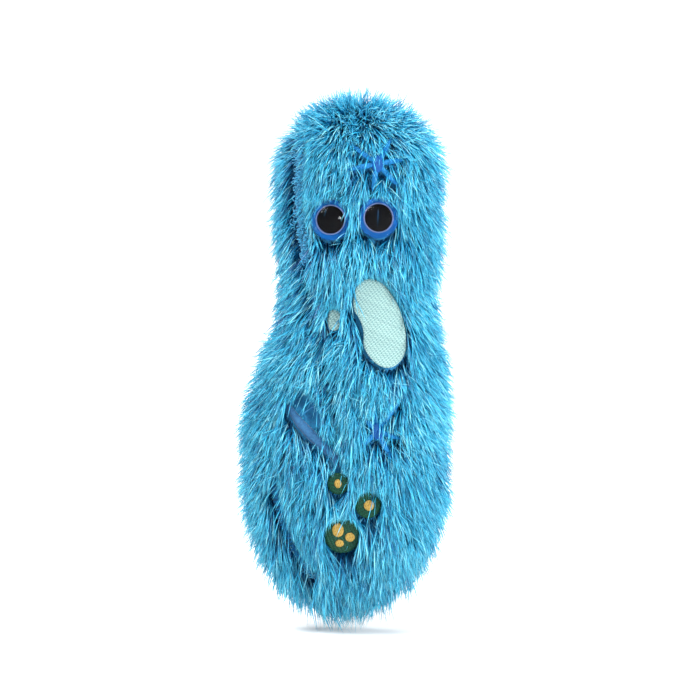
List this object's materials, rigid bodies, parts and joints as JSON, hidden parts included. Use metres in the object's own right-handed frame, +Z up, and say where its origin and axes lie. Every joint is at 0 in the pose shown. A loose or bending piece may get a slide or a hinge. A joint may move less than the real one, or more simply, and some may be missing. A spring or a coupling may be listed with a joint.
{
  "type": "moving mouth hand puppet",
  "caption": "Upright shaggy hand puppet with a long side mouth, dome eyes, embroidered motifs and a hand opening in the lower back.",
  "frame": {"origin": "middle of the wrist cuff's outer rim, on the axis of the hand opening", "axes": "+Z up the puppet's body, -Y the way its face looks, +X to the right of someone who faces it"},
  "size_m": [0.104, 0.0906, 0.28],
  "materials": {
    "pile": "shaggy eyelash pile, satin strands",
    "fibre": "matt polyester fibre fill",
    "lining": "matt plain-weave lining",
    "mouth_cloth": "matt knitted cloth",
    "felt": "matt felt",
    "cuff_knit": "matt ribbed knit",
    "elastic": "matt",
    "eye_blue": "gloss",
    "eye_black": "gloss",
    "eye_clear": "clear gloss",
    "washer": "matt",
    "blue_thread": "satin thread",
    "mint_thread": "satin thread",
    "green_thread": "satin thread",
    "ochre_thread": "satin thread"
  },
  "bodies": {
    "body": {"front_panel": "pile", "back_panel": "pile", "side_gusset": "pile", "head_filling": "fibre", "chest_filling": "fibre", "tail_filling": "fibre", "finger_sleeve": "lining", "mouth_lining_right": "mouth_cloth", "mouth_pad_right": "felt", "mouth_fold": "mouth_cloth", "wrist_cuff": "cuff_knit", "cuff_elastic": "elastic", "right_eye_iris": "eye_blue", "right_eye_pupil": "eye_black", "right_eye_dome": "eye_clear", "right_eye_washer": "washer", "left_eye_iris": "eye_blue", "left_eye_pupil": "eye_black", "left_eye_dome": "eye_clear", "left_eye_washer": "washer", "upper_star": "blue_thread", "lower_star": "blue_thread", "bean_patch": "mint_thread", "oval_patch": "mint_thread", "upper_spot": "green_thread", "right_spot": "green_thread", "lower_spot": "green_thread", "upper_spot_dot": "ochre_thread", "right_spot_dot": "ochre_thread", "lower_spot_dots": "ochre_thread"},
    "mouth_lobe": {"lobe_panel": "pile", "lobe_filling": "fibre", "thumb_pocket": "lining", "mouth_lining_left": "mouth_cloth", "mouth_pad_left": "felt"}
  },
  "joints": [
    {"name": "mouth_hinge", "type": "hinge", "parent": "body", "child": "mouth_lobe", "pos_m": [-0.013, -0.03393, 0.068], "axis": [0, 0, -1], "range_deg": [0, 35], "stiffness_Nm_per_rad": 0.01, "deforming": ["side_gusset"]}
  ]
}
